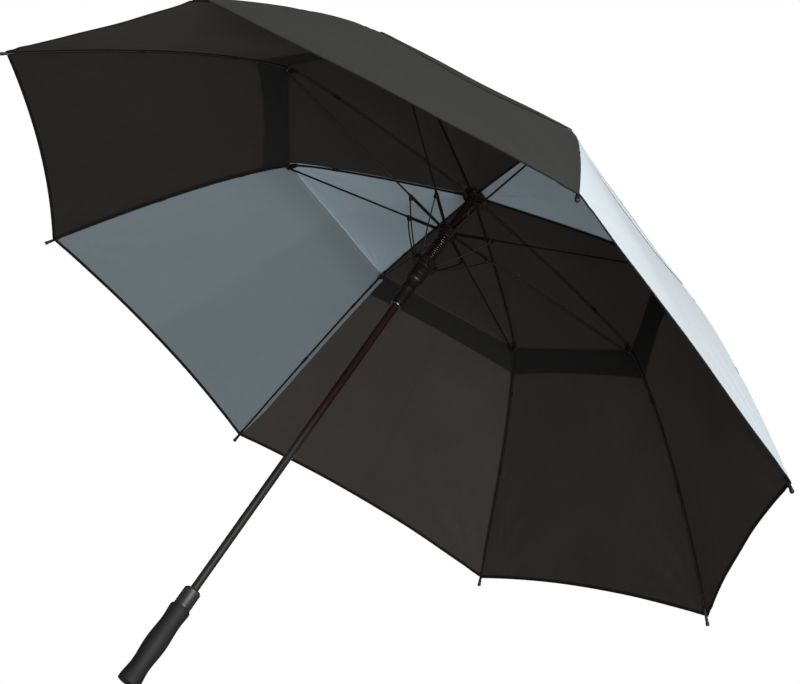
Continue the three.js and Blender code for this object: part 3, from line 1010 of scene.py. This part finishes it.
def upper_centre(s):
    """The upper canopy's line over the inner rib, from under the cap to the knee."""
    t = 0.025 + 0.975 * s
    return on_curve(INNER, t, FABRIC_LIFT + (VENT_LIFT - FABRIC_LIFT) * min(max(t, 0), 1) ** 3)


def vent_centre(s):
    """The part of the upper canopy that hangs past the knee, over the outer rib."""
    return on_curve(OUTER, VENT_HEM * s, VENT_LIFT + (HEM_LIFT - VENT_LIFT) * s * s)


def lower_centre(s):
    return on_curve(OUTER, 0.004 + 0.996 * s, FABRIC_LIFT)


def edge_binding(name, line, inward, normal, body, fold, wide, thick, material):
    """A folded edge or tape over a cloth edge. line, inward and normal are arrays along the edge."""
    past = 0.6 * MM
    section = [
        (-0.5 * past, -0.42), (-0.5 * past, 0.42), (-0.38 * past, 0.5), (0.9 * wide, 0.5), (wide, 0.35),
        (wide, -0.35), (0.9 * wide, -0.5), (-0.38 * past, -0.5),
    ]
    verts = []
    for p, d, up in zip(line, inward, normal):
        verts += [p + d * depth + up * share * thick for depth, share in section]
    shape = Shape().add(verts, skin(len(line), len(section)))
    piece = make(name, shape, body, [material], smooth_angle=50)
    fold_to_rib(piece, *fold)


def stitches(name, line, normal, body, fold, material):
    """A row of short thread stitches along a line, standing a little proud of the cloth."""
    pitch, long, thread_r = 3.2 * MM, 2.1 * MM, 0.22 * MM
    shape = Shape()
    along = np.concatenate([[0], np.cumsum(np.linalg.norm(np.diff(line, axis=0), axis=1))])

    def at(values, x):
        return np.array([np.interp(x, along, values[:, c]) for c in range(3)])

    for i in range(int(along[-1] / pitch)):
        ends = []
        for share, rise in ((-0.5, -0.15), (-0.25, 0.12), (0.25, 0.12), (0.5, -0.15)):
            x = (i + 0.5) * pitch + share * long
            ends.append(at(line, x) + at(normal, x) * rise * MM)
        shape.tube(ends, thread_r, 5)
    piece = make(name, shape, body, [material], smooth_angle=0)
    fold_to_rib(piece, *fold)


def build_layer(layer, centre, rows, bow, bow_power, sag, pockets, body, cad, edges):
    """One ring of panels, each as two halves that ride the ribs on both sides."""
    half = 24
    curve = INNER if layer == "upper" else OUTER
    for p in range(RIBS):
        panel = panel_grid(p, centre, rows, 2 * half, bow, bow_power, sag, pockets)
        grey = p in GREY_PANELS
        materials = CLOTHS[layer == "lower", grey]
        sides = (("a", slice(0, half + 1), p, -1), ("b", slice(half, 2 * half + 1), (p + 1) % RIBS, 1))
        for tag, columns, k, side in sides:
            grid, normals, place = (values[:, columns] for values in panel)
            end = f"{p + 1}{tag}"
            ride, fold = f"{body}_{k + 1}", (k, side, curve)
            stands_for = f"{cad}_{k + 1}" if cad and tag == "a" else None
            cloth_half(f"{layer}_panel_{end}", grid, normals, place, ride, materials, stands_for, fold)
            for edge, row, step, wide, thick in edges:
                inward = grid[row + step] - grid[row]
                inward = inward / np.linalg.norm(inward, axis=1, keepdims=True)
                line, up = grid[row], normals[row]
                taped = layer == "lower" and edge == "hem"
                material = BINDING if taped else materials[0] if layer == "vent" else materials[1]
                edge_binding(f"{layer}_{edge}_{end}", line, inward, up, ride, fold, wide, thick, material)
                sewing = PALE_THREAD if grey and not taped else THREAD
                for face, sign in (("top", 1), ("under", -1)):
                    sewn = line + inward * wide * 0.78 + up * sign * (thick / 2)
                    stitches(f"{layer}_{edge}_thread_{face}_{end}", sewn, up * sign, ride, fold, sewing)


def build_canopy():
    # edge: (name, row, step inwards, width, thickness)
    vent_edges = (("hem", -1, -1, 6 * MM, 0.8 * MM),)
    lower_edges = (("hem", -1, -1, 5 * MM, 1.2 * MM), ("vent_edge", 0, 1, 7 * MM, 0.8 * MM))
    build_layer("upper", upper_centre, 32, 0.0, 1, sag_upper, UPPER_POCKETS, "rib", "upper_gore", ())
    build_layer("vent", vent_centre, 8, VENT_BOW, 2, sag_vent, (), "rib_end", None, vent_edges)
    build_layer(
        "lower", lower_centre, 48, HEM_BOW, 3, sag_lower, POCKETS, "rib_end", "lower_gore", lower_edges,
    )
    build_seams()


def pocket(curve, t):
    """A short cloth loop that holds the rib to the seam above it at t."""
    loop_r = RIB_R * 1.2
    top = FABRIC_LIFT - FABRIC / 2
    angles = [math.radians(130 + k * (280 / 12)) for k in range(13)]
    loop = [(loop_r * math.cos(a), loop_r * math.sin(a)) for a in angles]
    section = [(-0.5 * MM, top)] + loop + [(0.5 * MM, top)]
    total = arc_length([on_curve(curve, x) for x in np.linspace(0, 1, 30)])
    rows = 7
    verts = []
    for share in np.linspace(-0.5, 0.5, rows):
        x = t + share * POCKET_LENGTH / total
        spread = 1 + 0.10 * abs(2 * share)
        base = on_curve(curve, x)
        up = (on_curve(curve, x, MM) - base) / MM
        for y, h in section:
            q = base + up * (h if h > 0 else h * spread)
            verts.append((q[0], y * spread, q[1]))
    return verts, skin(rows, len(section))


def seam_flap(start, end, side, wide):
    """The raw edges of two panels, folded to one side under a seam, close below the cloth there."""
    rows = 60
    verts = []
    for i in range(rows + 1):
        t = start + (end - start) * i / rows
        wave = 0.3 * MM * noise.noise(Vector((t * 14, side, 0)))
        reach = wide * min(1.0, 0.35 + 6 * (end - t)) + wave
        for share, under in ((0, 0.5), (0.5, 0.8), (1, 1.15), (1, 1.55), (0.5, 1.2), (0, 0.9)):
            y = reach * share
            q = on_curve(OUTER, t, FABRIC_LIFT - FABRIC / 2 - under * MM)
            verts.append((q[0] - y * math.tan(STEP / 2), side * (y + 0.15 * MM), q[1]))
    return Shape().add(verts, skin(rows + 1, 6))


def build_seams():
    """Pockets and a seam flap on every rib."""
    for k in range(RIBS):
        held = (("rib_pockets", OUTER, POCKETS, "rib_end"), ("upper_pockets", INNER, UPPER_POCKETS, "rib"))
        for name, curve, places, body in held:
            shape = Shape()
            for t in places:
                shape.add(*pocket(curve, t))
            make(f"{name}_{k + 1}", shape, f"{body}_{k + 1}", [BINDING], turn=SPOKES[k])
        beside_grey = k in GREY_PANELS or (k - 1) % RIBS in GREY_PANELS
        material = GREY_IN if beside_grey and k % 2 == 0 else BLACK_IN
        side = 1 if k % 2 else -1
        flap = seam_flap(0.03, 0.985, side, 7 * MM if beside_grey else 5 * MM)
        body = f"rib_end_{k + 1}"
        piece = make(f"seam_flap_{k + 1}", flap, body, [material], turn=SPOKES[k])
        fold_to_rib(piece, k, side, OUTER, FLAP_KEEP)


# ---------- stage, lights and camera ----------


def build_stage():
    """A white backdrop for the camera, dim light from all round, and a pale floor below the object."""
    world = bpy.data.worlds.new("studio")
    bpy.context.scene.world = world
    world.use_nodes = True
    tree = world.node_tree
    backdrop = tree.nodes["Background"]
    backdrop.inputs["Color"].default_value = (1, 1, 1, 1)
    backdrop.inputs["Strength"].default_value = 1.0
    room = node(tree, "ShaderNodeBackground", {"Color": (1, 1, 1, 1), "Strength": 0.14})
    seen = node(tree, "ShaderNodeLightPath").outputs["Is Camera Ray"]
    mix_shaders(tree, seen, room.outputs["Background"], backdrop.outputs["Background"], "World Output")
    bpy.context.scene.view_settings.view_transform = "Standard"
    mesh = bpy.data.meshes.new("floor")
    size, z = 14.0, -1.4
    corners = [(x * size, y * size, z) for x, y in ((-1, -1), (1, -1), (1, 1), (-1, 1))]
    mesh.from_pydata(corners, [], [(0, 1, 2, 3)])
    floor = put("studio_floor", mesh)
    material, tree, shader = new_material("pale_floor", (0.55, 0.55, 0.55), 0.9)
    speck = grain(tree, (6, 6, 6), 3.0)
    paint(tree, shader, blend(tree, speck, (0.53, 0.53, 0.53), (0.57, 0.57, 0.57)))
    shader.inputs["Emission Color"].default_value = (1, 1, 1, 1)
    shader.inputs["Emission Strength"].default_value = 0.55
    mesh.materials.append(material)
    for rays in ("diffuse", "glossy", "transmission"):  # the floor's own light stays off the canopy
        setattr(floor, f"visible_{rays}", False)


def area_light(name, location, aim, size, level):
    """A softbox; level is how bright it makes a white card facing it at the aim."""
    data = bpy.data.lights.new(name, "AREA")
    data.shape = "RECTANGLE"
    data.size, data.size_y = size
    way = Vector(aim) - Vector(location)
    data.energy = level * (math.pi * way.length) ** 2
    light = put(name, data)
    light.location = location
    light.rotation_euler = way.to_track_quat("-Z", "Y").to_euler()
    light.visible_camera = False


def build_lights():
    area_light("front_softbox", (-0.45, 3.7, -0.75), (0, 0, 0.6), (2.2, 1.2), 0.95)
    area_light("high_softbox", (0.0, 2.9, 1.55), (0, 0, 0.7), (2.0, 1.2), 0.9)
    area_light("back_softbox", (-0.3, -3.0, 1.4), (0, 0, 0.7), (2.2, 1.6), 1.0)


CAMERA_PLACE = Vector((0.3227, 2.2190, -0.4235))
CAMERA_AIM = Vector((0.0308, 0.1657, 0.5287))
CAMERA_ROLL = 35.46
CAMERA_LENS = 77.10
CAMERA_SHIFT = (0.0375, -0.01125)


def build_camera():
    data = bpy.data.cameras.new("camera")
    camera = put("camera", data)
    bpy.context.scene.camera = camera
    data.sensor_width = 36
    data.lens = CAMERA_LENS
    data.shift_x, data.shift_y = CAMERA_SHIFT
    data.clip_start, data.clip_end = 0.05, 60
    turn = (CAMERA_AIM - CAMERA_PLACE).to_track_quat("-Z", "Y").to_matrix()
    turn = turn @ Matrix.Rotation(math.radians(CAMERA_ROLL), 3, "Z")
    camera.matrix_world = Matrix.Translation(CAMERA_PLACE) @ turn.to_4x4()


build_shaft()
build_notch()
build_hub()
build_runner()
build_spring()
build_ferrule()
build_cap()
build_grip()
build_collar()
build_spokes()
build_canopy()
build_stage()
build_lights()
build_camera()
